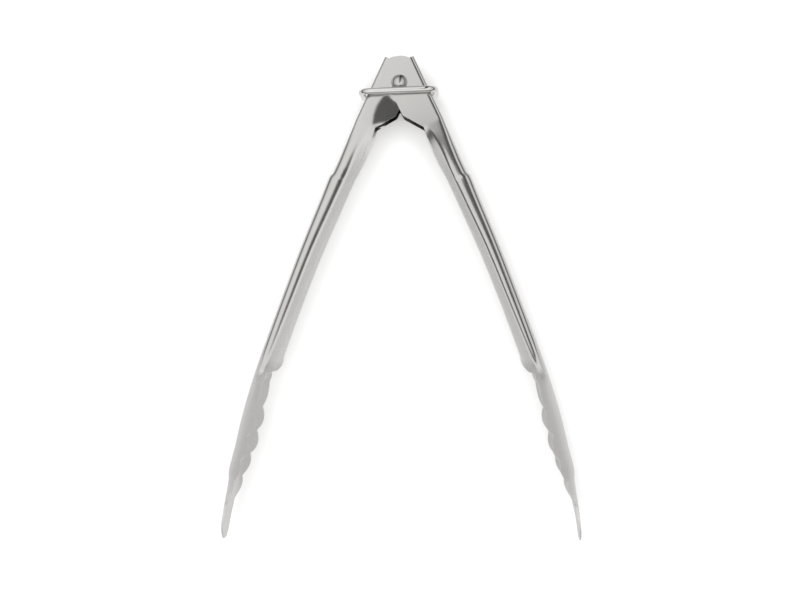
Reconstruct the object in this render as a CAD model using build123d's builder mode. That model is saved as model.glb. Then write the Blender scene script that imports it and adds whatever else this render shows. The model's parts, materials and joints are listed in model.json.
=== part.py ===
from build123d import *
import math
import os

# Spring loaded kitchen tongs, lying open on one side.
# Two stamped stainless arms turn on one rivet, and a torsion spring round the rivet
# pushes them apart. A wire ring slides over both arms to hold them closed.
#
# Each arm is drawn in its own frame, with the hinge axis at the origin:
# X is outward from the tongs' centre line, to the back of the arm,
# -Y runs down the arm to its tip, and Z is along the hinge axis.
# A station is a distance down the arm from the hinge axis. Lengths are millimetres.

# ---- driving dimensions: sheet and hinge ----
SHEET = 1.0                     # thickness of the stamped sheet
OPEN_ANGLE = 25.15              # each arm from the centre line when the tongs are open
WEB_BACK = 14.55                # hinge axis to the outside of the web
OUTER_HALF_WIDTH = 10.3         # hinge axis middle to the outside of the outer arm's cheek
CHEEK_GAP = 0.3                 # clearance between the nested cheeks, each side
BEND_RADIUS = 2.2               # outside radius of the bend from web to cheek
WEB_TOP = -10.8                 # station where the web ends above the hinge
CHEEK_END = 30.0                # station where the plain channel of the hinge ends
NEST_END = 60.0                 # station where the inner arm is as wide as the outer one

# ---- driving dimensions: cheek outline ----
EYE_STATION = -4.0              # centre of the rounded cheek end
EYE_OUTWARD = 3.0
EYE_RADIUS = 11.1
CHEEK_EDGE = -6.5               # straight inner edge of the cheek
CHEEK_CORNER = 18.3             # station where that edge turns outward
CHEEK_CORNER_RADIUS = 3.0
SLANT_END = (29.9, 1.9)         # foot of the cheek's slanted edge, station and outward

# ---- driving dimensions: handle and head ----
LIP_HALF_WIDTH = 12.8           # middle of the arm to the free edge of the rolled lip
RING_STOP = 66.0                # station of the step that the ring clicks over
STEP_HALF_LENGTH = 1.6          # half the length of that step
HANDLE_LENGTH = 189.7           # hinge axis to the neck where handle meets head
HEAD_LENGTH = 101.8             # neck to tip
HEAD_HALF_WIDTH = 19.4          # at the widest scallop
HEAD_TRIM = 2.4                 # sheet beyond that width before the head is trimmed
HEAD_END_RADIUS = 12.0          # rounded corners of the tip
NECK_OUTWARD = 1.3              # edge of the sheet at the neck
NOTCH_HALF_WIDTH = 10.8         # half width of the head where it starts at the neck
SCALLOP_START = 22.7            # neck to the first valley between scallops
SCALLOP_STOP = 20.7             # last valley to the tip
SCALLOP_DEPTH = 2.4
SCALLOP_VALLEYS = [2.2, 2.0, 2.1, 2.6, 4.0]    # how far inside the widest point each valley is
FIRST_SCALLOP = 1.5             # how far inside the widest point the first scallop is

# ---- driving dimensions: rivet, spring and ring ----
SHANK_RADIUS = 2.5
RIVET_CLEARANCE = 0.06          # radial running clearance of the shank in its holes
DOME_RADIUS = 4.85
DOME_HEIGHT = 4.5
DOME_SEAT = 0.05                # gap between a rivet head and the cheek under it
SPRING_WIRE = 1.7
SPRING_ROOM = 1.65              # shank to the inside of the coil
SPRING_COILS = 5                # whole turns, besides the part turn between the two legs
SPRING_TURN_GAP = 0.15          # between one coil and the next
SPRING_LEG = 24.0               # station where a spring leg ends
SPRING_GAP = 0.15               # spring leg to the inside of the web
RING_WIRE = 3.6
RING_HALF_LENGTH = 20.0         # inside of the ring, across both arms
RING_DEPTH_ROOM = 3.0           # outer cheek to the inside of the ring
RING_CORNER = 6.0               # radius of the wire's middle line at the corners
RING_DROP = 5.0                 # hinge axis to the ring, resting under the rivet heads
RING_TILT = 1.8                 # degrees that the ring hangs lower on the left
RING_SIDE = -0.6                # and how far it sits to that side

CLEAR = 40.0                    # well past the sheet, for trimming outlines
INNER_HALF_WIDTH = OUTER_HALF_WIDTH - SHEET - CHEEK_GAP
HOLE_RADIUS = SHANK_RADIUS + RIVET_CLEARANCE
HEAD_END = HANDLE_LENGTH + HEAD_LENGTH
HEAD_START = HANDLE_LENGTH + 0.3
SPRING_MEAN_RADIUS = SHANK_RADIUS + SPRING_ROOM + SPRING_WIRE / 2
SPRING_PITCH = SPRING_WIRE + SPRING_TURN_GAP
RING_HALF_DEPTH = OUTER_HALF_WIDTH + RING_DEPTH_ROOM


# ---- the arm's form ----
def throat_station(share):
    """A station part of the way from the hinge channel to the step."""
    return CHEEK_END + share * (RING_STOP - STEP_HALF_LENGTH - CHEEK_END)


def handle_station(share):
    """A station part of the way from the step to the neck."""
    step_end = RING_STOP + STEP_HALF_LENGTH
    return step_end + share * (HANDLE_LENGTH - step_end)


def head_station(share):
    """A station part of the way from the neck to the tip."""
    return HANDLE_LENGTH + share * HEAD_LENGTH


# One row for each station that the pressed sheet needs: station, back of the arm, then
# four points of the outside from the middle to the edge, each as distance from the
# middle and drop below the back. They are the end of the crown, the end of the
# shoulder, the crease where the lip starts, and the edge before it is trimmed.
# The last three numbers are how far the shoulder, wall and lip bulge.
FLAT = 0.004                    # bulge of a wall that is flat
HINGE_BULGE = BEND_RADIUS * (1 - math.cos(math.pi / 4))
HINGE_ROW = (
    WEB_BACK,
    (OUTER_HALF_WIDTH - BEND_RADIUS, 0.01),
    (OUTER_HALF_WIDTH, BEND_RADIUS),
    (OUTER_HALF_WIDTH, 9.3),
    (OUTER_HALF_WIDTH, 23.0),
    (HINGE_BULGE, FLAT, FLAT),
)
LIP = LIP_HALF_WIDTH
TRIM = HEAD_HALF_WIDTH + HEAD_TRIM
ARM_ROWS = [
    (CHEEK_END,) + HINGE_ROW,
    (throat_station(0.23), 14.55, (7.7, 0.3), (10.1, 2.6), (10.2, 9.1), (LIP - 1.2, 15.6), (0.6, 0.03, 0.05)),
    (throat_station(0.52), 14.40, (7.2, 0.45), (9.9, 3.0), (9.9, 8.85), (LIP, 14.9), (0.55, 0.06, 0.08)),
    (throat_station(0.87), 14.10, (7.0, 0.55), (9.7, 3.1), (9.6, 8.9), (LIP, 14.0), (0.52, 0.08, 0.10)),
    (throat_station(1.0), 14.15, (7.0, 0.55), (9.7, 3.1), (9.6, 8.9), (LIP, 14.0), (0.52, 0.08, 0.10)),
    (handle_station(0.0), 15.00, (7.2, 0.55), (10.1, 3.2), (9.7, 9.8), (LIP, 14.9), (0.52, 0.10, 0.10)),
    (handle_station(0.1), 14.40, (7.1, 0.60), (9.9, 3.1), (9.6, 9.2), (LIP, 14.4), (0.52, 0.12, 0.10)),
    (handle_station(0.36), 12.90, (7.0, 0.65), (9.7, 3.1), (9.5, 7.6), (LIP, 13.4), (0.52, 0.12, 0.10)),
    (handle_station(0.64), 10.45, (6.9, 0.70), (9.5, 3.0), (9.4, 6.7), (LIP, 12.9), (0.52, 0.10, 0.10)),
    (handle_station(0.82), 8.70, (6.8, 0.80), (9.2, 3.0), (9.3, 6.0), (LIP, 12.7), (0.45, 0.08, 0.10)),
    (handle_station(0.92), 7.65, (6.6, 0.90), (8.9, 2.9), (9.3, 5.5), (LIP, 12.1), (0.38, 0.06, 0.10)),
    (handle_station(1.0), 6.65, (6.4, 0.95), (8.7, 2.6), (9.5, 4.6), (LIP, 8.4), (0.28, 0.04, 0.10)),
    (head_station(0.07), 5.80, (6.8, 0.95), (10.4, 2.6), (13.2, 4.6), (TRIM - 1.2, 11.0), (0.16, 0.08, 0.15)),
    (head_station(0.15), 4.70, (7.0, 1.00), (11.4, 2.8), (15.0, 5.2), (TRIM, 11.8), (0.13, 0.09, 0.20)),
    (head_station(0.30), 2.25, (7.0, 1.05), (11.5, 3.0), (15.0, 5.6), (TRIM, 12.6), (0.12, 0.09, 0.20)),
    (head_station(0.50), -1.95, (7.0, 0.90), (11.5, 2.5), (15.0, 4.9), (TRIM, 12.1), (0.11, 0.08, 0.20)),
    (head_station(0.61), -4.10, (7.0, 0.65), (11.5, 1.9), (15.0, 3.9), (TRIM, 10.2), (0.08, 0.06, 0.15)),
    (head_station(0.67), -6.80, (7.0, 0.45), (11.5, 1.3), (15.0, 2.9), (TRIM, 8.0), (0.05, 0.04, 0.10)),
    (head_station(0.79), -10.6, (6.8, 0.2), (11, 0.5), (14, 1.1), (TRIM - 1.3, 3.2), (0.03, 0.02, 0.05)),
    (head_station(0.9), -14.4, (6, 0.06), (10, 0.16), (13, 0.28), (TRIM - 2.8, 0.7), (0.01, 0.01, 0.01)),
    (head_station(1.02), -19.3, (6, 0.03), (10, 0.09), (13, 0.15), (TRIM - 2.8, 0.4), (0.01, 0.01, 0.01)),
]

# Free edge of the lip seen from the side: share of the way from the hinge channel to the
# neck, and distance outward.
LIP_EDGE = [
    (0.047, 1.2), (0.13, 1.3), (0.21, 2.1), (0.29, 1.9), (0.50, 1.2),
    (0.70, -0.6), (0.86, -2.7), (0.93, -3.7),
]
LIP_END = (2.4, -1.6)           # a point on the round end of the lip: above the neck, outward


def arm_plane(station):
    """Cross-section plane at a station: sketch x is along the hinge axis, y is outward."""
    return Plane(origin=(0, -station, 0), x_dir=(0, 0, 1), z_dir=(0, 1, 0))


def narrowing(station, nested):
    """How much closer the nested arm's walls stand, going to nothing along the handle."""
    if not nested:
        return 0.0
    fade = min(1.0, max(0.0, (NEST_END - station) / (NEST_END - CHEEK_END)))
    return (OUTER_HALF_WIDTH - INNER_HALF_WIDTH) * fade


def arc_tangents(start, end, bulge):
    """Direction, in radians, at both ends of a flat arc that bulges off its chord."""
    along = math.atan2(end[1] - start[1], end[0] - start[0])
    chord = math.hypot(end[0] - start[0], end[1] - start[1])
    half_turn = 2 * math.atan(2 * bulge / chord)
    return along + half_turn, along - half_turn


def arc_middle(start, end, bulge):
    """Middle point of that arc; the bulge is to the left of start to end."""
    along = math.atan2(end[1] - start[1], end[0] - start[0])
    middle_x = (start[0] + end[0]) / 2 - bulge * math.sin(along)
    middle_y = (start[1] + end[1]) / 2 + bulge * math.cos(along)
    return middle_x, middle_y


def skin_halves(row, nested):
    """Outside and inside of half a section, each as its ends and the middles between."""
    station, back, crown, shoulder, crease, edge, bulges = row
    inward = narrowing(station, nested)
    outside = [(0.0, back)]
    for across, drop in (crown, shoulder, crease, edge):
        outside.append((across - inward, back - drop))
    crown_bulge = 2 * math.atan(crown[1] / (crown[0] - inward)) * (crown[0] - inward) / 8
    bulges = (crown_bulge,) + bulges
    starts = []
    ends = []
    for index in range(4):
        start_angle, end_angle = arc_tangents(outside[index], outside[index + 1], bulges[index])
        starts.append(start_angle)
        ends.append(end_angle)
    turns = [0.0]
    for index in range(1, 4):
        turns.append((ends[index - 1] + starts[index]) / 2)
    turns.append(ends[3])
    inside = []
    for point, turn in zip(outside, turns):
        inside.append((point[0] + SHEET * math.sin(turn), point[1] - SHEET * math.cos(turn)))
    return outside, inside, bulges


def draw_section(row, nested):
    """Draw one closed section of the sheet inside the current BuildLine."""
    outside, inside, bulges = skin_halves(row, nested)
    for side in (1, -1):
        for skin in (outside, inside):
            for index in range(1, 4):
                start = skin[index]
                end = skin[index + 1]
                middle = arc_middle(start, end, bulges[index])
                ThreePointArc(
                    (side * start[0], start[1]), (side * middle[0], middle[1]), (side * end[0], end[1])
                )
        Line((side * outside[4][0], outside[4][1]), (side * inside[4][0], inside[4][1]))
    for skin in (outside, inside):
        ThreePointArc((-skin[1][0], skin[1][1]), skin[0], skin[1])


def draw_side_outline():
    """Outline of an arm seen along the hinge axis, open past the back of the sheet."""
    top_outward = EYE_OUTWARD + math.sqrt(EYE_RADIUS**2 - (WEB_TOP - EYE_STATION) ** 2)
    eye_drop = math.sqrt(EYE_RADIUS**2 - (CHEEK_EDGE - EYE_OUTWARD) ** 2)
    edge_start = (CHEEK_EDGE, eye_drop - EYE_STATION)
    slant_foot = (SLANT_END[1], -SLANT_END[0])
    neck = (NECK_OUTWARD, -HANDLE_LENGTH)
    lip = []
    for share, outward in LIP_EDGE:
        lip.append((outward, -CHEEK_END - share * (HANDLE_LENGTH - CHEEK_END)))
    Polyline((CLEAR, -WEB_TOP), (top_outward, -WEB_TOP))
    ThreePointArc((top_outward, -WEB_TOP), (EYE_OUTWARD, EYE_RADIUS - EYE_STATION), edge_start)
    FilletPolyline(edge_start, (CHEEK_EDGE, -CHEEK_CORNER), slant_foot, radius=CHEEK_CORNER_RADIUS)
    Spline([slant_foot] + lip)
    ThreePointArc(lip[-1], (LIP_END[1], LIP_END[0] - HANDLE_LENGTH), neck)
    Polyline(neck, (-CLEAR, -HANDLE_LENGTH), (-CLEAR, -HEAD_END - CLEAR), (CLEAR, -HEAD_END - CLEAR))
    Line((CLEAR, -HEAD_END - CLEAR), (CLEAR, -WEB_TOP))


def draw_head_outline():
    """Outline of the head seen from its back, with everything above the neck left whole."""
    first = HANDLE_LENGTH + SCALLOP_START
    pitch = (HEAD_LENGTH - SCALLOP_START - SCALLOP_STOP) / (len(SCALLOP_VALLEYS) - 1)
    stations = [HEAD_START]
    widths = [NOTCH_HALF_WIDTH]
    for index, inset in enumerate(SCALLOP_VALLEYS):
        stations.append(first + index * pitch)
        widths.append(HEAD_HALF_WIDTH - inset)
    for side in (1, -1):
        Polyline(
            (CLEAR, 0), (CLEAR, side * CLEAR), (-HEAD_START, side * CLEAR), (-HEAD_START, side * widths[0])
        )
        for index in range(len(stations) - 1):
            start = (-stations[index], side * widths[index])
            end = (-stations[index + 1], side * widths[index + 1])
            middle_station = (stations[index] + stations[index + 1]) / 2
            middle_width = (widths[index] + widths[index + 1]) / 2 + SCALLOP_DEPTH
            if index == 0:
                middle_width = HEAD_HALF_WIDTH - FIRST_SCALLOP
            ThreePointArc(start, (-middle_station, side * middle_width), end)
        tip_width = widths[-1] - HEAD_END_RADIUS + SCALLOP_DEPTH
        corner = HEAD_END_RADIUS * (1 - math.cos(math.pi / 4))
        ThreePointArc(
            (-stations[-1], side * widths[-1]),
            (-(HEAD_END - corner), side * (widths[-1] + SCALLOP_DEPTH - corner)),
            (-HEAD_END, side * tip_width),
        )
        Line((-HEAD_END, side * tip_width), (-HEAD_END, 0))


def make_arm(nested):
    """Press, trim and pierce one arm, in the arm's own frame."""
    hinge_row = (CHEEK_END,) + HINGE_ROW
    with BuildPart() as arm:
        for row in ARM_ROWS:
            with BuildSketch(arm_plane(row[0])):
                with BuildLine():
                    draw_section(row, nested)
                make_face()
        loft(ruled=True)
        with BuildSketch(arm_plane(CHEEK_END)):
            with BuildLine():
                draw_section(hinge_row, nested)
            make_face()
        extrude(amount=CHEEK_END - EYE_STATION + EYE_RADIUS + 2)
        with BuildSketch(Plane.XY):
            with BuildLine():
                draw_side_outline()
            make_face()
        extrude(amount=CLEAR, both=True, mode=Mode.INTERSECT)
        with BuildSketch(Plane(origin=(0, 0, 0), x_dir=(0, 1, 0), z_dir=(1, 0, 0))):
            with BuildLine():
                draw_head_outline()
            make_face()
        extrude(amount=CLEAR, both=True, mode=Mode.INTERSECT)
        with BuildSketch(Plane.XY):
            Circle(HOLE_RADIUS)
        extrude(amount=CLEAR, both=True, mode=Mode.SUBTRACT)
    return arm.part


def make_rivet():
    """Turn the rivet: a shank through all four cheeks with a domed head at each end."""
    seat = OUTER_HALF_WIDTH + DOME_SEAT
    crown = seat + DOME_HEIGHT
    ball = (DOME_RADIUS**2 + DOME_HEIGHT**2) / (2 * DOME_HEIGHT)
    centre = crown - ball
    rim_turn = math.degrees(math.asin((seat - centre) / ball))
    with BuildPart() as rivet:
        with BuildSketch(Plane.XZ):
            with BuildLine():
                CenterArc((0, centre), ball, rim_turn, 90 - rim_turn)
                Polyline(
                    (DOME_RADIUS, seat), (SHANK_RADIUS, seat),
                    (SHANK_RADIUS, -seat), (DOME_RADIUS, -seat),
                )
                CenterArc((0, -centre), ball, -90, 90 - rim_turn)
                Line((0, -crown), (0, crown))
            make_face()
        revolve(axis=Axis.Z)
    return rivet.part


def make_spring():
    """Wind the torsion spring round the rivet, with one leg along each arm's web."""
    leg_outward = WEB_BACK - SHEET - SPRING_GAP - SPRING_WIRE / 2
    leg_reach = math.hypot(SPRING_LEG, leg_outward)
    leg_length = math.sqrt(leg_reach**2 - SPRING_MEAN_RADIUS**2)
    open_turn = math.radians(OPEN_ANGLE)
    leg_x = leg_outward * math.cos(open_turn) + SPRING_LEG * math.sin(open_turn)
    leg_y = leg_outward * math.sin(open_turn) - SPRING_LEG * math.cos(open_turn)
    start_turn = math.atan2(leg_y, leg_x) + math.acos(SPRING_MEAN_RADIUS / leg_reach)
    part_turn = (math.pi - 2 * start_turn) / (2 * math.pi)
    rise = SPRING_PITCH / (2 * math.pi * SPRING_MEAN_RADIUS)
    turns = SPRING_COILS + part_turn
    coil_height = SPRING_PITCH * turns
    with BuildPart() as spring:
        with BuildLine(Plane.XY.offset(-coil_height / 2)) as coil:
            Helix(SPRING_PITCH, coil_height, SPRING_MEAN_RADIUS)
        with BuildSketch(Plane(origin=coil.line @ 0, z_dir=coil.line % 0)):
            Circle(SPRING_WIRE / 2)
        sweep(path=coil.line, is_frenet=True)
        with BuildSketch(Plane(origin=coil.line @ 0, z_dir=-(coil.line % 0))):
            Circle(SPRING_WIRE / 2)
        extrude(amount=leg_length * math.hypot(1, rise))
        with BuildSketch(Plane(origin=coil.line @ 1, z_dir=coil.line % 1)):
            Circle(SPRING_WIRE / 2)
        extrude(amount=leg_length * math.hypot(1, rise))
    return spring.part.rotate(Axis.Z, math.degrees(start_turn))


def make_ring():
    """Bend the lock ring: a rounded rectangle of wire round both arms."""
    wire_radius = RING_WIRE / 2
    with BuildSketch(Plane.XZ) as loop:
        RectangleRounded(
            2 * (RING_HALF_LENGTH + wire_radius), 2 * (RING_HALF_DEPTH + wire_radius), RING_CORNER
        )
    path = loop.sketch.face().outer_wire()
    with BuildPart() as ring:
        with BuildSketch(Plane(origin=path @ 0, z_dir=path % 0)):
            Circle(wire_radius)
        sweep(path=path)
    return ring.part


# ---- the pieces, open, with the hinge axis still at the origin ----
open_outer = make_arm(nested=False).rotate(Axis.Z, OPEN_ANGLE)
open_inner = mirror(make_arm(nested=True), about=Plane.YZ).rotate(Axis.Z, -OPEN_ANGLE)
hung_ring = make_ring().rotate(Axis.Z, RING_TILT)

# The origin of the whole object is the middle of its footprint, on the surface it lies on.
outer_box = open_outer.bounding_box()
inner_box = open_inner.bounding_box()
top = max(outer_box.max.Y, inner_box.max.Y)
bottom = min(outer_box.min.Y, inner_box.min.Y)
lowest = min(outer_box.min.Z, inner_box.min.Z)
hinge = Location((0, -(top + bottom) / 2, -lowest))
ring_seat = hinge * Location((RING_SIDE, -RING_DROP, 0))

with BuildPart() as outer_arm:
    add(open_outer.moved(hinge))
outer_arm.part.label = "outer_arm"

with BuildPart() as inner_arm:
    add(open_inner.moved(hinge))
inner_arm.part.label = "inner_arm"

with BuildPart() as hinge_rivet:
    add(make_rivet().moved(hinge))
hinge_rivet.part.label = "hinge_rivet"

with BuildPart() as torsion_spring:
    add(make_spring().moved(hinge))
torsion_spring.part.label = "torsion_spring"

with BuildPart() as lock_ring:
    add(hung_ring.moved(ring_seat))
lock_ring.part.label = "lock_ring"

# ---- write each piece ----
os.makedirs("parts", exist_ok=True)
for piece in (outer_arm, inner_arm, hinge_rivet, torsion_spring, lock_ring):
    export_step(piece.part, f"parts/{piece.part.label}.step")
    box = piece.part.bounding_box()
    print(piece.part.label, round(piece.part.volume, 1), "mm3", box)
print("hinge axis at", hinge.position)
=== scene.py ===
# %% [markdown]
# # Spring loaded kitchen tongs
# Two stamped steel arms, one rivet, one hidden spring and one wire ring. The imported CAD
# model is the fixed frame: it says where the hinge is and how each piece moves. This
# script builds the surfaces that are seen, and hangs each one on its CAD body.

# %% Load the frame
import json
import math
import bmesh
import bpy
from mathutils import Matrix, Vector


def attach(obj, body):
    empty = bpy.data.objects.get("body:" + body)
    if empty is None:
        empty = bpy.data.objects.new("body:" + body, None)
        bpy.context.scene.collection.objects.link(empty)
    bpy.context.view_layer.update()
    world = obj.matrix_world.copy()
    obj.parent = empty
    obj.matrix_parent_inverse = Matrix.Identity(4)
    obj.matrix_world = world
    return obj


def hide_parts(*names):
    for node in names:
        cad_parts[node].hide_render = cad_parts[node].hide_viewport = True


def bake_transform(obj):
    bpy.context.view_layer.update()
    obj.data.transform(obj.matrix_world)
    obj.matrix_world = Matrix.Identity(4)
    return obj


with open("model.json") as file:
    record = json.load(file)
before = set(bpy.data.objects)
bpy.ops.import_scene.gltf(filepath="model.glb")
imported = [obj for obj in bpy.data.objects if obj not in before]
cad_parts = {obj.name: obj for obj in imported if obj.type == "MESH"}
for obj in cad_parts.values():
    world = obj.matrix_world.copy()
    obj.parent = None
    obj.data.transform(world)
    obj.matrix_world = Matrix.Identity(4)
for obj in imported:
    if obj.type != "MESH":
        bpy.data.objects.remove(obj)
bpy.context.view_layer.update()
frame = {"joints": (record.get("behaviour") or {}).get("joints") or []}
hinge = Vector(frame["joints"][0]["pos_m"])
MM = 0.001
print("hinge at", tuple(round(part / MM, 2) for part in hinge), "mm")


# %% [markdown]
# ## From millimetres to the scene
# A press shop would draw these pieces in millimetres about the hinge pin, so each mesh is
# made that way and then scaled, turned and moved once. The place ends up in the mesh, and
# the object itself stays at the origin, so that a pattern on object coordinates is fixed
# to the steel.

# %% A helper that finishes a mesh as an object
def finish_piece(mesh_edit, name, place, materials):
    """Move a bmesh in millimetres to its place and make an object of it."""
    bmesh.ops.transform(mesh_edit, matrix=place @ Matrix.Scale(MM, 4), verts=mesh_edit.verts)
    if place.determinant() < 0:
        bmesh.ops.reverse_faces(mesh_edit, faces=mesh_edit.faces)
    mesh = bpy.data.meshes.new(name)
    mesh_edit.to_mesh(mesh)
    mesh_edit.free()
    for polygon in mesh.polygons:
        polygon.use_smooth = True
    piece = bpy.data.objects.new(name, mesh)
    for material in materials:
        mesh.materials.append(material)
    bpy.context.scene.collection.objects.link(piece)
    print(name, len(mesh.polygons), "faces before modifiers")
    return piece


at_hinge = Matrix.Translation(hinge)
OPEN_ANGLE = math.radians(25.15)
outer_place = at_hinge @ Matrix.Rotation(OPEN_ANGLE, 4, "Z")
inner_place = at_hinge @ Matrix.Rotation(-OPEN_ANGLE, 4, "Z") @ Matrix.Scale(-1, 4, (1, 0, 0))


# %% [markdown]
# ## Shader maths as expressions
# A steel finish is a handful of sums on noise. Wiring each sum by hand hides what it does,
# so a small class wraps a socket and lets Python's own operators add the Math nodes.

# %% A wrapped socket and a node maker
class Flow:
    """One output socket in a node tree; arithmetic on it adds Math nodes."""

    def __init__(self, tree, socket):
        self.tree = tree
        self.socket = socket

    def node(self, kind, settings=None, **inputs):
        """Add a node, apply its settings, then fill its inputs from values or flows."""
        made = self.tree.nodes.new(kind)
        for key, value in (settings or {}).items():
            setattr(made, key, value)
        for key, value in inputs.items():
            name = int(key[1:]) if key[1:].isdigit() else key.replace("_", " ")
            slot = made.inputs[name]
            if isinstance(value, Flow):
                self.tree.links.new(value.socket, slot)
            else:
                slot.default_value = value
        return made

    def math(self, operation, first, second=0.0):
        made = self.node("ShaderNodeMath", {"operation": operation}, i0=first, i1=second)
        return Flow(self.tree, made.outputs[0])

    def __add__(self, other):
        return self.math("ADD", self, other)

    def __radd__(self, other):
        return self.math("ADD", other, self)

    def __sub__(self, other):
        return self.math("SUBTRACT", self, other)

    def __rsub__(self, other):
        return self.math("SUBTRACT", other, self)

    def __mul__(self, other):
        return self.math("MULTIPLY", self, other)

    def __rmul__(self, other):
        return self.math("MULTIPLY", other, self)

    def step(self, low, high):
        """A soft step from 0 at low to 1 at high."""
        settings = {"interpolation_type": "SMOOTHSTEP"}
        made = self.node("ShaderNodeMapRange", settings, Value=self, From_Min=low, From_Max=high)
        return Flow(self.tree, made.outputs[0])


def start_material(name):
    """A new steel material, with its Principled shader and its object coordinates."""
    material = bpy.data.materials.new(name)
    material.use_nodes = True
    tree = material.node_tree
    shader = tree.nodes["Principled BSDF"]
    shader.inputs["Metallic"].default_value = 1.0
    coordinates = tree.nodes.new("ShaderNodeTexCoord")
    return material, shader, Flow(tree, coordinates.outputs["Object"])


def grain(place, turn, stretch):
    """Noise drawn out into fine lines: turn in degrees about Z, stretch in lines per metre."""
    mapping = place.node(
        "ShaderNodeMapping", Vector=place, Rotation=(0.0, 0.0, math.radians(turn)), Scale=stretch
    )
    turned = Flow(place.tree, mapping.outputs[0])
    noise = place.node("ShaderNodeTexNoise", Vector=turned, Scale=1.0, Detail=3.0, Roughness=0.6)
    return Flow(place.tree, noise.outputs[0])


def drive(flow, shader, socket):
    flow.tree.links.new(flow.socket, shader.inputs[socket])


def bump(flow, shader, distance, strength=1.0):
    made = flow.node("ShaderNodeBump", Height=flow, Distance=distance, Strength=strength)
    flow.tree.links.new(made.outputs[0], shader.inputs["Normal"])


def blend_colour(flow, low, high):
    """A colour that runs from low to high as the flow runs from 0 to 1."""
    made = flow.node("ShaderNodeMix", {"data_type": "RGBA"}, Factor=flow, i6=low, i7=high)
    return Flow(flow.tree, made.outputs[2])


# %% [markdown]
# ## The arm's steel
# The stamping is polished on the hinge cheeks and the channel, and belt-brushed satin on the
# head and the rolled lips. One sheet has both finishes, so one material mixes them by an
# attribute that the mesh carries, called satin. The brushing is diagonal, fine and shallow:
# it widens the roughness and scratches the normal, and barely changes the colour.

# %% Arm steel
MIRROR_STEEL = (0.60, 0.595, 0.585, 1.0)
SATIN_STEEL = (0.93, 0.925, 0.92, 1.0)
ARM_TURN = 25.0                # degrees, near enough to the angle that the arms stand open
BRUSH_LEAN = 38.0              # degrees between the brushing and the arm


def arm_steel(name, brush_turn):
    material, shader, place = start_material(name)
    mask = place.node("ShaderNodeAttribute", {"attribute_name": "satin"})
    satin = Flow(place.tree, mask.outputs["Fac"])
    brushing = grain(place, brush_turn, (140.0, 2600.0, 900.0))
    scuffs = grain(place, brush_turn + 7.0, (60.0, 900.0, 300.0))
    cloudy = grain(place, 0.0, (45.0, 45.0, 45.0))
    roughness = 0.10 + cloudy * 0.07 + satin * (0.34 + brushing * 0.14)
    drive(roughness, shader, "Roughness")
    shade = satin * (0.45 + 0.5 * brushing + 0.2 * scuffs) + (1.0 - satin) * cloudy * 0.25
    drive(blend_colour(shade, MIRROR_STEEL, SATIN_STEEL), shader, "Base Color")
    relief = satin * (brushing + 0.6 * scuffs)
    bump(relief, shader, 0.00002, 0.55)
    return material


outer_steel = arm_steel("outer_arm_steel", -ARM_TURN - BRUSH_LEAN)
inner_steel = arm_steel("inner_arm_steel", ARM_TURN + BRUSH_LEAN)


# %% [markdown]
# ## Wire and rivet steel
# The ring is drawn wire that was polished after bending, and the rivet heads are tumbled
# bright. Both are smooth enough to mirror the room, with faint handling marks.

# %% Bright steel
def bright_steel(name, colour, rough, lines):
    material, shader, place = start_material(name)
    marks = grain(place, 0.0, lines)
    drive(rough + marks * 0.06, shader, "Roughness")
    darker = tuple(part * 0.94 for part in colour[:3]) + (1.0,)
    drive(blend_colour(marks, darker, colour), shader, "Base Color")
    bump(marks, shader, 0.00001, 0.3)
    return material


ring_steel = bright_steel("ring_steel", (0.80, 0.79, 0.78, 1.0), 0.07, (40.0, 900.0, 900.0))
rivet_steel = bright_steel("rivet_steel", (0.64, 0.635, 0.63, 1.0), 0.17, (300.0, 300.0, 300.0))
spring_steel = bright_steel("spring_steel", (0.55, 0.54, 0.53, 1.0), 0.22, (500.0, 500.0, 1500.0))


# %% [markdown]
# ## The shape of the pressed sheet
# The sheet is a channel: a back, two rounded shoulders, two side walls and two lips that
# roll outward. Towards the head the channel opens into a shallow scalloped spoon. The form
# is given by a few cross-sections down the arm, with smooth curves between them, as a
# die maker would loft it. X is outward from the centre line, Y runs up to the hinge.

# %% Sizes of the sheet, in millimetres
SHEET = 1.0
WEB_BACK = 14.55
WEB_TOP = -10.77
OUTER_HALF_WIDTH = 10.3
NEST_STEP = 1.3                # how much closer the inner arm's cheeks stand
NEST_END = 60.0
CHEEK_END = 30.0
STEP_START = 64.4
STEP_END = 67.6
NECK = 189.7
HEAD_LENGTH = 101.8
TIP = NECK + HEAD_LENGTH
HEAD_HALF_WIDTH = 19.4
RIM_ROOM = 0.14                # what the crown of the lip adds to the width of the head
TRIM = HEAD_HALF_WIDTH + 2.4
LIP = 12.8


def throat(share):
    return CHEEK_END + share * (STEP_START - CHEEK_END)


def handle(share):
    return STEP_END + share * (NECK - STEP_END)


def head(share):
    return NECK + share * HEAD_LENGTH


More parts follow.
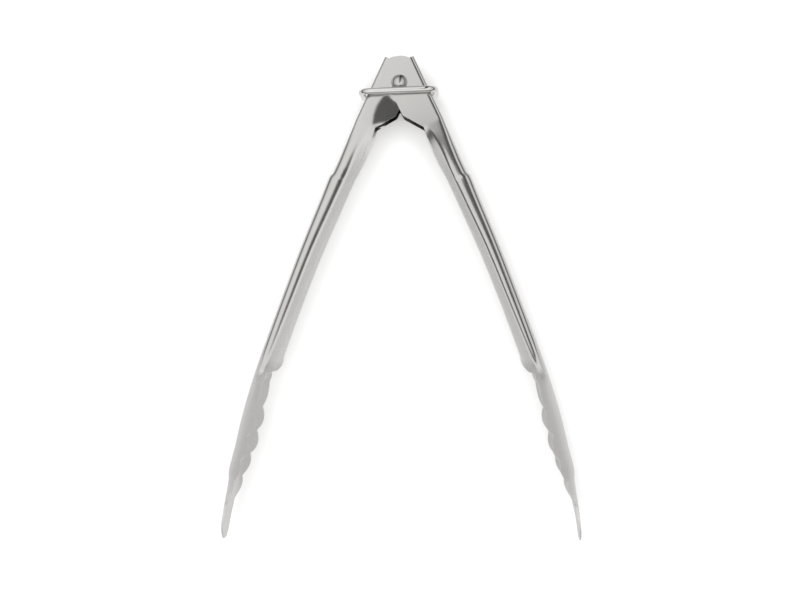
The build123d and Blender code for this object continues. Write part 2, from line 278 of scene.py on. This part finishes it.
# station, back, crown z and drop, shoulder z and drop, crease z and drop, edge z and drop,
# then how far the shoulder, the wall and the lip bulge
SECTIONS = [
    (CHEEK_END, WEB_BACK, 8.1, 0.01, 10.3, 2.2, 10.3, 9.3, 10.3, 23.0, 0.64, 0.0, 0.0),
    (throat(0.23), 14.55, 7.7, 0.3, 10.15, 2.6, 10.2, 9.1, LIP - 1.2, 15.6, 0.60, 0.05, 0.05),
    (throat(0.52), 14.40, 7.2, 0.45, 9.95, 3.0, 9.9, 8.85, LIP, 14.9, 0.40, 0.16, 0.08),
    (throat(0.87), 14.10, 7.0, 0.55, 9.78, 3.1, 9.6, 8.9, LIP, 14.0, 0.30, 0.23, 0.10),
    (STEP_START, 14.15, 7.0, 0.55, 9.78, 3.1, 9.6, 8.9, LIP, 14.0, 0.30, 0.23, 0.10),
    (STEP_END, 15.00, 7.2, 0.55, 9.9, 3.2, 9.7, 9.8, LIP, 14.9, 0.30, 0.25, 0.10),
    (handle(0.1), 14.40, 7.1, 0.60, 9.8, 3.1, 9.6, 9.2, LIP, 14.4, 0.30, 0.24, 0.10),
    (handle(0.36), 12.90, 7.0, 0.65, 9.75, 3.1, 9.5, 7.9, LIP, 13.4, 0.30, 0.17, 0.10),
    (handle(0.64), 10.45, 6.9, 0.70, 9.65, 3.0, 9.4, 7.3, LIP, 12.9, 0.30, 0.14, 0.10),
    (handle(0.82), 8.70, 6.8, 0.80, 9.5, 3.0, 9.3, 6.8, LIP, 12.7, 0.28, 0.12, 0.10),
    (handle(0.92), 7.65, 6.6, 0.90, 9.3, 2.9, 9.2, 6.4, LIP, 12.1, 0.24, 0.10, 0.10),
    (NECK, 6.65, 6.2, 0.95, 8.6, 2.8, 9.2, 5.8, LIP, 8.8, 0.18, 0.10, 0.10),
    (head(0.07), 5.80, 6.8, 0.95, 10.4, 2.6, 13.2, 4.6, TRIM - 1.2, 12.0, 0.16, 0.08, 0.15),
    (head(0.15), 4.70, 7.0, 1.00, 11.4, 2.8, 15.0, 5.2, TRIM, 12.6, 0.13, 0.09, 0.20),
    (head(0.30), 2.25, 7.0, 1.05, 11.5, 3.0, 15.0, 5.6, TRIM, 12.6, 0.12, 0.09, 0.20),
    (head(0.50), -1.95, 7.0, 0.90, 11.5, 2.5, 15.0, 4.9, TRIM, 12.1, 0.11, 0.08, 0.20),
    (head(0.61), -4.10, 7.0, 0.65, 11.5, 1.9, 15.0, 3.9, TRIM, 10.2, 0.08, 0.06, 0.15),
    (head(0.67), -6.80, 7.0, 0.45, 11.5, 1.3, 15.0, 2.9, TRIM, 8.0, 0.05, 0.04, 0.10),
    (head(0.79), -10.6, 6.8, 0.2, 11.0, 0.5, 14.0, 1.1, TRIM - 1.3, 3.2, 0.03, 0.02, 0.05),
    (head(0.9), -14.4, 6.0, 0.06, 10.0, 0.16, 13.0, 0.28, TRIM - 2.8, 0.7, 0.01, 0.01, 0.01),
    (head(1.02), -19.33, 6.0, 0.03, 10.0, 0.09, 13.0, 0.15, TRIM - 2.8, 0.4, 0.01, 0.01, 0.01),
]


# %% Smooth curves through the sections
def slopes(keys, values):
    """Slope at each key that keeps the curve from overshooting its points."""
    rises = [(values[i + 1] - values[i]) / (keys[i + 1] - keys[i]) for i in range(len(keys) - 1)]
    found = [rises[0]]
    for before, after in zip(rises, rises[1:]):
        if before * after <= 0:
            found.append(0.0)
        else:
            found.append(2 * before * after / (before + after))
    return found + [rises[-1]]


def smooth_curve(keys, values):
    """A function that runs smoothly through the values."""
    leans = slopes(keys, values)

    def value_at(key):
        index = 0
        while index < len(keys) - 2 and key > keys[index + 1]:
            index += 1
        width = keys[index + 1] - keys[index]
        t = min(1.0, max(0.0, (key - keys[index]) / width))
        start = (1 + 2 * t) * (1 - t) ** 2 * values[index] + t * (1 - t) ** 2 * width * leans[index]
        end = t * t * (3 - 2 * t) * values[index + 1] + t * t * (t - 1) * width * leans[index + 1]
        return start + end

    return value_at


section_keys = [row[0] for row in SECTIONS]
section_curves = [smooth_curve(section_keys, column) for column in list(zip(*SECTIONS))[1:]]


# %% [markdown]
# ## Where the sheet is trimmed
# After pressing, a trimming die cuts the free edges: the lip in a long gentle curve with a
# rounded end at the neck, and the head in five scallops a side and a tapering tip.
# Each trim is a function of the station, made of arcs through three points.

# %% Trim curves
def arc_over(start, middle, end):
    """Height of the circle through three points (station, height) at a station."""
    first = (middle[0] - start[0], middle[1] - start[1])
    second = (end[0] - start[0], end[1] - start[1])
    cross = 2 * (first[0] * second[1] - first[1] * second[0])
    first_square = first[0] ** 2 + first[1] ** 2
    second_square = second[0] ** 2 + second[1] ** 2
    centre_station = start[0] + (second[1] * first_square - first[1] * second_square) / cross
    centre_height = start[1] + (first[0] * second_square - second[0] * first_square) / cross
    radius = math.hypot(start[0] - centre_station, start[1] - centre_height)
    side = 1.0 if middle[1] > centre_height else -1.0

    def height_at(station):
        reach = max(0.0, radius**2 - (station - centre_station) ** 2)
        return centre_height + side * math.sqrt(reach)

    return height_at


SLANT_END = (29.9, 1.9)
LIP_EDGE = [
    (0.047, 1.2), (0.13, 1.3), (0.21, 2.1), (0.29, 1.9),
    (0.50, 1.2), (0.70, -0.6), (0.86, -2.7), (0.93, -3.7),
]
LIP_END_POINT = (NECK - 1.8, -2.8)
NECK_EDGE = (NECK, -0.9)
lip_stations = [SLANT_END[0]] + [CHEEK_END + share * (NECK - CHEEK_END) for share, _ in LIP_EDGE]
lip_curve = smooth_curve(lip_stations, [SLANT_END[1]] + [outward for _, outward in LIP_EDGE])
lip_end = arc_over((lip_stations[-1], LIP_EDGE[-1][1]), LIP_END_POINT, NECK_EDGE)

VALLEY_INSETS = [2.2, 2.0, 2.1, 2.6, 4.0]
SCALLOP_DEPTH = 2.4
FIRST_VALLEY = 22.7             # from the neck
LAST_VALLEY = 20.7              # from the tip
FIRST_SWELL = HEAD_HALF_WIDTH - 1.5
HEAD_START = (NECK + 0.3, 11.4)
TIP_SIDE = (TIP - 7.0, 12.6)
TIP_HALF_WIDTH = 4.0
valley_pitch = (HEAD_LENGTH - FIRST_VALLEY - LAST_VALLEY) / (len(VALLEY_INSETS) - 1)
valleys = [HEAD_START]
for index, inset in enumerate(VALLEY_INSETS):
    valleys.append((NECK + FIRST_VALLEY + index * valley_pitch, HEAD_HALF_WIDTH - inset))
scallops = []
for index, (start, end) in enumerate(zip(valleys, valleys[1:])):
    swell = (start[1] + end[1]) / 2 + SCALLOP_DEPTH if index else FIRST_SWELL
    scallops.append(arc_over(start, ((start[0] + end[0]) / 2, swell), end))
tip_corner = arc_over(valleys[-1], TIP_SIDE, (TIP, TIP_HALF_WIDTH))
print("scallop pitch", round(valley_pitch, 2), "mm, tip", round(2 * TIP_HALF_WIDTH, 1), "mm wide")


def head_half_width(station):
    for scallop, end in zip(scallops, valleys[1:]):
        if station <= end[0]:
            return scallop(station)
    return tip_corner(station)


def lip_share(station, section):
    """How far along the untrimmed lip the trimmed edge lies."""
    back, crease_z, crease_drop, edge_z, edge_drop = section[0], *section[5:9]
    outward = lip_curve(station) if station < lip_stations[-1] else lip_end(station)
    side_cut = (back - outward - crease_drop) / (edge_drop - crease_drop)
    if station <= NECK:
        return side_cut
    return (head_half_width(station) - RIM_ROOM - crease_z) / (edge_z - crease_z)


# %% [markdown]
# ## One cross-section as a row of points
# Each row has the same number of points on the crown, shoulder, wall and lip, so the rows
# join into clean quads whose lines run along the arm, which is what a mirror finish needs:
# reflections bend if the lines wander. Small averaging passes round the corners between
# the four stretches as a press tool's radii do.

# %% Row of a section
CROWN, SHOULDER, WALL, LIP_COLUMNS = 6, 8, 8, 9
HALF = CROWN + SHOULDER + WALL + LIP_COLUMNS
LEAST_LIP = 0.05               # a lip cut shorter than this is squeezed with its whole row


def nest_inset(station, nested):
    if not nested:
        return 0.0
    return NEST_STEP * min(1.0, max(0.0, (NEST_END - station) / (NEST_END - CHEEK_END)))


def bulged(start, end, bulge, share):
    """A point part of the way along a flat arc."""
    run = (end[0] - start[0], end[1] - start[1])
    length = math.hypot(*run)
    lift = 4 * bulge * share * (1 - share) / length
    return (start[0] + share * run[0] - run[1] * lift, start[1] + share * run[1] + run[0] * lift)


def squeezed(points, share):
    """Slide the points of a row inwards along its own curve."""
    slid = []
    for z, _ in points:
        index = 0
        while index < len(points) - 2 and points[index + 1][0] < z * share:
            index += 1
        near, far = points[index], points[index + 1]
        part = (z * share - near[0]) / (far[0] - near[0])
        slid.append((z * share, near[1] + part * (far[1] - near[1])))
    return slid


def section_row(station, nested, rounding=3):
    """Points (z, outward) from the middle of the back to the trimmed edge."""
    section = [curve(station) for curve in section_curves]
    back = section[0]
    inset = nest_inset(station, nested)
    knots = [(0.0, back)]
    for column in (1, 3, 5, 7):
        knots.append((section[column] - inset, back - section[column + 1]))
    points = []
    for step in range(CROWN):
        share = step / CROWN
        points.append((knots[1][0] * share, back - section[2] * share * share))
    for stretch, columns in ((1, SHOULDER), (2, WALL)):
        for step in range(columns):
            bulge = section[8 + stretch]
            points.append(bulged(knots[stretch], knots[stretch + 1], bulge, step / columns))
    cut = lip_share(station, section)
    for step in range(LIP_COLUMNS + 1):
        share = max(cut, LEAST_LIP) * step / LIP_COLUMNS
        points.append(bulged(knots[3], knots[4], section[11], share))
    if cut < LEAST_LIP:
        points = squeezed(points, head_half_width(station) / points[-1][0])
    for _ in range(rounding):
        middle = [
            ((a[0] + 2 * b[0] + c[0]) / 4, (a[1] + 2 * b[1] + c[1]) / 4)
            for a, b, c in zip(points, points[1:], points[2:])
        ]
        points = [points[0]] + middle + [points[-1]]
    return points


# %% [markdown]
# ## The hinge cheek as a four-sided patch
# The cheek is flat, with a round top, a straight inner edge and a slanted foot. Its outline
# doesn't follow the stations, so the cheek is filled between its four sides: the bend, the
# round top, the free edge and the first section of the handle.

# %% Cheek outline and patch
EYE = (3.0, 4.0)
EYE_RADIUS = 11.07
BEND_DROP = 2.2                # from the back to the edge of the flat cheek
CHEEK_EDGE = -6.5
CHEEK_CORNER = -18.3
CORNER_RADIUS = 3.0
HINGE_ROWS = 40
CORNER_ROWS = 6
EDGE_ROWS = 21


def cheek_top(columns):
    """Points on the round top, from the bend to the inner edge."""
    rise = -WEB_TOP - EYE[1]
    start = math.asin(rise / EYE_RADIUS)
    end = math.acos((CHEEK_EDGE - EYE[0]) / EYE_RADIUS)
    points = [(WEB_BACK - BEND_DROP, -WEB_TOP)]
    for step in range(columns):
        turn = start + (end - start) * step / (columns - 1)
        points.append((EYE[0] + EYE_RADIUS * math.cos(turn), EYE[1] + EYE_RADIUS * math.sin(turn)))
    return points


def cheek_side(top):
    """Points down the inner edge, round its corner and along the slanted foot."""
    foot = Vector((SLANT_END[1], -SLANT_END[0]))
    corner = Vector((CHEEK_EDGE, CHEEK_CORNER))
    slant = (foot - corner).normalized()
    turn = math.acos(slant.dot(Vector((0, -1))))
    tangent = CORNER_RADIUS * math.tan(turn / 2)
    centre = corner + Vector((CORNER_RADIUS, tangent))
    points = []
    for step in range(EDGE_ROWS):
        points.append((CHEEK_EDGE, top + (CHEEK_CORNER + tangent - top) * step / EDGE_ROWS))
    for step in range(CORNER_ROWS):
        angle = math.pi + turn * step / CORNER_ROWS
        spoke = Vector((math.cos(angle), math.sin(angle))) * CORNER_RADIUS
        points.append((centre.x + spoke.x, centre.y + spoke.y))
    start = corner + slant * tangent
    slant_rows = HINGE_ROWS - EDGE_ROWS - CORNER_ROWS
    for step in range(slant_rows + 1):
        point = start.lerp(foot, step / slant_rows)
        points.append((point.x, point.y))
    return points


patch_columns = WALL + LIP_COLUMNS
top_side = cheek_top(patch_columns)
edge_side = cheek_side(top_side[-1][1])
foot_row = section_row(CHEEK_END, False, rounding=0)[CROWN + SHOULDER:]
foot_side = [(outward, -CHEEK_END) for z, outward in foot_row]
foot_side[-1] = edge_side[-1]
print("cheek patch", HINGE_ROWS, "by", patch_columns, "quads")


def cheek_point(row, column):
    """Fill between the four sides of the cheek."""
    s = row / HINGE_ROWS
    t = column / patch_columns
    bend_y = -WEB_TOP + s * (-CHEEK_END + WEB_TOP)
    result = []
    for axis in (0, 1):
        bend = (WEB_BACK - BEND_DROP, bend_y)[axis]
        along = (1 - s) * top_side[column][axis] + s * foot_side[column][axis]
        across = (1 - t) * bend + t * edge_side[row][axis]
        corners = (
            (1 - s) * (1 - t) * top_side[0][axis] + (1 - s) * t * top_side[-1][axis]
            + s * (1 - t) * foot_side[0][axis] + s * t * foot_side[-1][axis]
        )
        result.append(along + across - corners)
    return result


# %% [markdown]
# ## Rows down the arm
# Rows are close together where the shape turns quickly: at the step that the ring clicks
# over, at the rounded end of the lip, in the scallops and at the tip.

# %% Stations of the rows
def spread(start, end, count, pull=1.0):
    """Stations after start up to end; pull above 1 crowds them towards the end."""
    shares = [1 - (1 - step / count) ** pull for step in range(1, count + 1)]
    return [start + (end - start) * share for share in shares]


stations = spread(CHEEK_END, STEP_START, 22) + spread(STEP_START, STEP_END, 6)
stations += spread(STEP_END, lip_stations[-1], 56) + spread(lip_stations[-1], NECK, 22, 1.8)
stations += [HEAD_START[0]]
for start, end in zip(valleys, valleys[1:]):
    stations += spread(start[0], end[0], 18)
stations += spread(valleys[-1][0], TIP - 0.05, 24, 1.5)
ROWS = HINGE_ROWS + len(stations)
print("rows down the arm:", ROWS + 1)


# %% [markdown]
# ## The boundary between mirror and satin
# The lips and the whole head are satin. The bright finish of the side wall ends in a
# rounded tongue at the neck, because the head's brushing runs up over the back of the
# handle in a long wedge.

# %% Finish of a point
LIP_FADE = 14.0                # the satin of the lips fades in over this length
WEDGE_LENGTH = 27.0            # the head's brushing runs this far up the handle


def satin_at(station, column):
    """0 on polished steel and 1 on brushed, for a station and a column of the half row."""
    crease = CROWN + SHOULDER + WALL
    if station <= CHEEK_END:
        return 0.0
    lips_begin = min(1.0, max(0.0, (station - CHEEK_END - 4.0) / LIP_FADE))
    lip = min(1.0, max(0.0, (column - crease - 0.2) / 1.2)) * lips_begin
    reach = min(1.0, max(0.0, (station - (NECK - WEDGE_LENGTH)) / WEDGE_LENGTH))
    shoulder_line = CROWN + SHOULDER * (0.25 + 0.85 * reach)
    if reach > 0:
        wedge = min(1.0, max(0.0, shoulder_line - column))
    else:
        wedge = 0.0
    off_middle = abs(column - crease + WALL * 0.5) / (WALL * 0.5)
    tongue_end = NECK - 0.4 - 2.6 * off_middle**2
    head = min(1.0, max(0.0, (station - tongue_end) / 0.6))
    return max(lip, wedge, head)


# %% [markdown]
# ## Press the arm
# A flat grid is the blank. Every point of the grid is moved to its place on the pressed
# form, which is what the press does to the strip. The rivet hole is pierced, and a Solidify
# modifier gives the sheet its thickness inwards, so the outside stays on the drawn form. A
# narrow Bevel takes the sharpness off the cut edges, and those edges then catch the light.

# %% The pressed arm
HOLE_RADIUS = 2.56
HOLE_MARGIN = 1.2              # edge points this near the hole are drawn onto its circle
PANEL_EDGE = 6.2               # outward side of the leaning panel at its widest
PANEL_MIDDLE = 19.0
PANEL_SLOPE = 0.085
EDGE_ROUNDING = 0.3


def panel_lean(outward, station):
    """How far the inner arm's cheek leans in, on the panel that the other cheek slides over."""
    side = PANEL_EDGE - 0.022 * (station - PANEL_MIDDLE) ** 2
    depth = max(0.0, side - outward)
    begins = min(1.0, max(0.0, (station - 8.0) / 3.0))
    foot = (CHEEK_END - station) - 0.62 * (SLANT_END[1] - outward)
    ends = min(1.0, max(0.0, (foot - 1.8) / 1.2))
    return PANEL_SLOPE * depth * begins * (0.35 + 0.65 * ends)


def arm_point(row, column, nested):
    """Place of a grid point in the arm's frame, and its finish."""
    side = 1 if column >= HALF else -1
    from_middle = abs(column - HALF)
    if row > HINGE_ROWS:
        station = stations[row - HINGE_ROWS - 1]
        z, outward = form_rows[nested][row - HINGE_ROWS - 1][from_middle]
        return (outward, -station, side * z), satin_at(station, from_middle)
    z, outward = form_rows["foot", nested][from_middle]
    y = -WEB_TOP + row / HINGE_ROWS * (-CHEEK_END + WEB_TOP)
    if from_middle >= CROWN + SHOULDER:
        outward, y = cheek_point(row, from_middle - CROWN - SHOULDER)
        if nested:
            z -= panel_lean(outward, -y)
    return (outward, y, side * z), 0.0


form_rows = {}
for nested in (False, True):
    form_rows[nested] = [section_row(station, nested) for station in stations]
    form_rows["foot", nested] = section_row(CHEEK_END, nested, rounding=0)


def press_arm(nested):
    blank = bmesh.new()
    bmesh.ops.create_grid(blank, x_segments=2 * HALF, y_segments=ROWS, size=1.0)
    finish = blank.verts.layers.float.new("satin")
    for vert in blank.verts:
        column = round((vert.co.x + 1) / 2 * 2 * HALF)
        row = round((vert.co.y + 1) / 2 * ROWS)
        place, satin = arm_point(row, column, nested)
        vert.co = place
        vert[finish] = satin
    middles = {face: face.calc_center_median() for face in blank.faces}
    pierced = [face for face, middle in middles.items() if middle.xy.length < HOLE_RADIUS]
    bmesh.ops.delete(blank, geom=pierced, context="FACES")
    for vert in blank.verts:
        reach = Vector(vert.co.xy)
        if vert.is_boundary and reach.length < HOLE_RADIUS + HOLE_MARGIN:
            vert.co.xy = reach.normalized() * HOLE_RADIUS
    blank.normal_update()
    blank.faces.ensure_lookup_table()
    on_back = Vector((WEB_BACK, 0, 0))
    middle_back = min(blank.faces, key=lambda face: (face.calc_center_median() - on_back).length)
    if middle_back.normal.x < 0:
        bmesh.ops.reverse_faces(blank, faces=blank.faces)
    return blank


def give_thickness(piece):
    solid = piece.modifiers.new("sheet", "SOLIDIFY")
    solid.thickness = SHEET * MM
    solid.offset = -1.0
    solid.use_even_offset = False
    edges = piece.modifiers.new("deburred_edges", "BEVEL")
    edges.width = EDGE_ROUNDING * MM
    edges.segments = 3
    edges.limit_method = "ANGLE"
    edges.angle_limit = math.radians(55)
    edges.harden_normals = True


outer_arm = finish_piece(press_arm(False), "outer_arm_pressing", outer_place, [outer_steel])
inner_arm = finish_piece(press_arm(True), "inner_arm_pressing", inner_place, [inner_steel])
for arm, body in ((outer_arm, "outer_arm"), (inner_arm, "inner_arm")):
    give_thickness(arm)
    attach(arm, body)
    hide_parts(body)


# %% [markdown]
# ## The rivet
# A headed pin is turned on a lathe, so its half profile is spun about its axis. The heads
# are nearly hemispheres that sit just clear of the cheeks.

# %% Rivet
DOME_RADIUS = 4.85
DOME_HEIGHT = 4.5
SHANK_RADIUS = 2.5
SEAT = OUTER_HALF_WIDTH + 0.05
DOME_STEPS = 18


def spin_rivet():
    ball = (DOME_RADIUS**2 + DOME_HEIGHT**2) / (2 * DOME_HEIGHT)
    centre = SEAT + DOME_HEIGHT - ball
    rim = math.asin((SEAT - centre) / ball)
    half = [(0.0, SEAT + DOME_HEIGHT)]
    for step in range(1, DOME_STEPS + 1):
        turn = math.pi / 2 - (math.pi / 2 - rim) * step / DOME_STEPS
        half.append((ball * math.cos(turn), centre + ball * math.sin(turn)))
    half += [(DOME_RADIUS - 0.25, SEAT - 0.04), (SHANK_RADIUS, SEAT), (SHANK_RADIUS, SEAT / 2)]
    profile = half + [(radius, -z) for radius, z in reversed(half)]
    rivet = bmesh.new()
    verts = [rivet.verts.new((radius, 0.0, z)) for radius, z in profile]
    edges = [rivet.edges.new(pair) for pair in zip(verts, verts[1:])]
    bmesh.ops.spin(
        rivet, geom=verts + edges, cent=(0, 0, 0), axis=(0, 0, 1),
        angle=2 * math.pi, steps=72, use_merge=True,
    )
    bmesh.ops.remove_doubles(rivet, verts=rivet.verts, dist=0.0005)
    bmesh.ops.recalc_face_normals(rivet, faces=rivet.faces)
    return rivet


rivet = finish_piece(spin_rivet(), "rivet", at_hinge, [rivet_steel])
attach(rivet, "pivot")
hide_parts("hinge_rivet")


# %% [markdown]
# ## The lock ring
# The ring is one length of round wire bent round four corners and welded. The bender's
# path is followed: a circle of wire is extruded along each side and spun round each corner.

# %% Ring
RING_WIRE = 3.6
RING_HALF_LENGTH = 20.0
RING_HALF_DEPTH = 13.3
RING_CORNER = 6.0
RING_OFFSET = Vector((-0.6, -5.0, 0.0))
RING_TILT = math.radians(1.8)
SIDE_STEPS = 10
ring_place = at_hinge @ Matrix.Translation(RING_OFFSET * MM) @ Matrix.Rotation(RING_TILT, 4, "Z")


def verts_of(items):
    return [item for item in items if isinstance(item, bmesh.types.BMVert)]


def edges_of(items):
    return [item for item in items if isinstance(item, bmesh.types.BMEdge)]


def moved_part(items):
    return [item for item in items if not isinstance(item, bmesh.types.BMFace)]


def bend_ring():
    wire = RING_WIRE / 2
    half_x = RING_HALF_LENGTH + wire
    half_z = RING_HALF_DEPTH + wire
    ring = bmesh.new()
    start = Matrix.Translation((-(half_x - RING_CORNER), 0, half_z))
    start = start @ Matrix.Rotation(math.pi / 2, 4, "Y")
    bmesh.ops.create_circle(ring, segments=28, radius=wire, matrix=start)
    front = list(ring.verts) + list(ring.edges)
    heading = Vector((1, 0, 0))
    for side in range(4):
        length = 2 * ((half_x, half_z)[side % 2] - RING_CORNER)
        for _ in range(SIDE_STEPS):
            grown = bmesh.ops.extrude_edge_only(ring, edges=edges_of(front))
            front = moved_part(grown["geom"])
            bmesh.ops.translate(ring, vec=heading * length / SIDE_STEPS, verts=verts_of(front))
        verts = verts_of(front)
        middle = sum((vert.co for vert in verts), Vector()) / len(verts)
        inward = Vector((heading.z, 0, -heading.x))
        bent = bmesh.ops.spin(
            ring, geom=front, cent=middle + inward * RING_CORNER, axis=(0, 1, 0),
            angle=math.pi / 2, steps=12,
        )
        front = moved_part(bent["geom_last"])
        heading = inward
    bmesh.ops.remove_doubles(ring, verts=ring.verts, dist=0.01)
    bmesh.ops.recalc_face_normals(ring, faces=ring.faces)
    return ring


lock_ring = finish_piece(bend_ring(), "lock_ring_wire", ring_place, [ring_steel])
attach(lock_ring, "lock_ring")
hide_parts("lock_ring")


# %% [markdown]
# ## The torsion spring
# The spring is coiled round the shank with one straight leg against the back of each arm.
# When the arms close, each leg follows its arm and the coil winds up between them. So it is made as
# two halves that meet in the middle: the lower half runs from the outer arm's leg, and the upper
# half is the same half turned over.

# %% Spring
SPRING_WIRE = 1.7
COILS = 5
COIL_RADIUS = 5.0
COIL_PITCH = 1.85
COIL_STEPS = 96
LEG_STATION = 24.0
LEG_GAP = 0.15
leg_outward = WEB_BACK - SHEET - LEG_GAP - SPRING_WIRE / 2
leg_reach = math.hypot(LEG_STATION, leg_outward)
leg_length = math.sqrt(leg_reach**2 - COIL_RADIUS**2)
leg_x = leg_outward * math.cos(OPEN_ANGLE) + LEG_STATION * math.sin(OPEN_ANGLE)
leg_y = leg_outward * math.sin(OPEN_ANGLE) - LEG_STATION * math.cos(OPEN_ANGLE)
start_turn = math.atan2(leg_y, leg_x) + math.acos(COIL_RADIUS / leg_reach)
coil_turns = COILS + (math.pi - 2 * start_turn) / (2 * math.pi)
half_height = COIL_PITCH * coil_turns / 2
rise = COIL_PITCH / (2 * math.pi)
print("spring turns", round(coil_turns, 2), "half height", round(half_height, 2), "mm")


def wind_half():
    """The lower half: from the outer arm's leg up to the middle of the coil."""
    half = bmesh.new()
    slope = math.atan2(rise, COIL_RADIUS)
    spot = Matrix.Rotation(start_turn, 4, "Z") @ Matrix.Translation((COIL_RADIUS, 0, -half_height))
    spot = spot @ Matrix.Rotation(math.pi / 2 + slope, 4, "X")
    bmesh.ops.create_circle(half, segments=16, radius=SPRING_WIRE / 2, matrix=spot)
    first = list(half.verts) + list(half.edges)
    bmesh.ops.spin(
        half, geom=first, cent=(0, 0, 0), axis=(0, 0, 1), dvec=(0, 0, half_height / COIL_STEPS),
        angle=math.pi * coil_turns, steps=COIL_STEPS, use_duplicate=False,
    )
    leg = moved_part(bmesh.ops.extrude_edge_only(half, edges=edges_of(first))["geom"])
    tangent = Vector((-math.sin(start_turn), math.cos(start_turn), rise / COIL_RADIUS))
    bmesh.ops.translate(half, vec=-tangent * leg_length, verts=verts_of(leg))
    bmesh.ops.contextual_create(half, geom=edges_of(leg))
    bmesh.ops.recalc_face_normals(half, faces=half.faces)
    return half


over = Matrix.Rotation(math.pi, 4, "Y")
for name, body, turn_over, end_side in (
    ("spring_outer_half", "outer_arm", Matrix.Identity(4), -1),
    ("spring_inner_half", "inner_arm", over, 1),
):
    piece = finish_piece(wind_half(), name, at_hinge @ turn_over, [spring_steel])
    coil_end = tuple(hinge + Vector((0, 0, end_side * half_height * MM)))
    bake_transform(piece)
    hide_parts("torsion_spring")


# %% [markdown]
# ## Studio
# Polished steel shows the room more than itself. The tongs lie on a pale table under a
# large bright ceiling that fades towards the walls. The room is dark near the horizon,
# which draws the dark lines along every rounded edge. Two dark flags hang to the right of
# the lens: the near one gives the handles their dark stripe, and the far one shows in the
# leaning panel of the inner cheek.

# %% Table, sky and lens
TABLE_HALF_WIDTH = 3.0         # metres, as all sizes of the studio are
TABLE_DROP = 0.0005            # keeps the table just clear of the steel
table = bmesh.new()
bmesh.ops.create_grid(table, x_segments=1, y_segments=1, size=TABLE_HALF_WIDTH)
table_mesh = bpy.data.meshes.new("table")
table.to_mesh(table_mesh)
table.free()
table_top = bpy.data.objects.new("table", table_mesh)
table_top.location.z = -TABLE_DROP
bpy.context.scene.collection.objects.link(table_top)
paper = bpy.data.materials.new("paper")
paper.use_nodes = True
paper.node_tree.nodes["Principled BSDF"].inputs["Base Color"].default_value = (0.92, 0.92, 0.92, 1)
paper.node_tree.nodes["Principled BSDF"].inputs["Roughness"].default_value = 0.9
table_mesh.materials.append(paper)
table_top.visible_glossy = False

FLAG_EAST = 0.085              # middle of the near flag, as the east part of a direction
TABLE_GLOW = 0.80              # light that comes back up from the table
world = bpy.data.worlds.new("studio")
world.use_nodes = True
sky_tree = world.node_tree
sky_place = sky_tree.nodes.new("ShaderNodeTexCoord")
split = sky_tree.nodes.new("ShaderNodeSeparateXYZ")
sky_tree.links.new(sky_place.outputs["Generated"], split.inputs[0])
east = Flow(sky_tree, split.outputs[0])
north = Flow(sky_tree, split.outputs[1])
up = Flow(sky_tree, split.outputs[2])
ceiling = 0.03 + 0.62 * up.step(0.0, 0.26) + 0.35 * up.step(0.3, 0.9)
aside = (east - FLAG_EAST) * (east - FLAG_EAST)
flag = (1.0 - aside.step(0.008, 0.024)) * north.step(-0.17, -0.09) * (1.0 - north.step(0.09, 0.14))
far_flag = east.step(0.0, 0.09) * (1.0 - east.step(0.34, 0.55)) * north.step(0.07, 0.12)
below = TABLE_GLOW * (1.0 - up.step(-0.30, -0.06))
level = ceiling * (1.0 - 0.90 * flag) * (1.0 - 0.88 * far_flag) + below
sky_tree.links.new(level.socket, sky_tree.nodes["Background"].inputs["Strength"])
sky_tree.nodes["Background"].inputs["Color"].default_value = (1.0, 0.995, 0.985, 1.0)
bpy.context.scene.world = world

table_light = bpy.data.lights.new("table_light", "SUN")
table_light.energy = 2.3
table_light.angle = math.radians(60)
lamp = bpy.data.objects.new("table_light", table_light)
lamp.visible_glossy = False
bpy.context.scene.collection.objects.link(lamp)
bpy.context.scene.view_settings.view_transform = "Standard"

LENS_HEIGHT = 0.81
LENS_BELOW_HINGE = 0.1288
LENS_ORBIT = math.radians(2.7)
LENS_ROLL = math.radians(-0.15)
FOCAL_LENGTH = 60.75
target = Vector((0.0, hinge.y - LENS_BELOW_HINGE, hinge.z))
lens_data = bpy.data.cameras.new("lens")
lens_data.lens = FOCAL_LENGTH
lens = bpy.data.objects.new("lens", lens_data)
bpy.context.scene.collection.objects.link(lens)
above = Matrix.Translation(target) @ Matrix.Rotation(LENS_ORBIT, 4, "Y")
level_turn = at_hinge @ Matrix.Rotation(LENS_ROLL, 4, "Z") @ at_hinge.inverted()
lens.matrix_world = level_turn @ above @ Matrix.Translation((0, 0, LENS_HEIGHT))
bpy.context.scene.camera = lens


# %% [markdown]
# ## The end

# %% The end
bpy.context.view_layer.update()
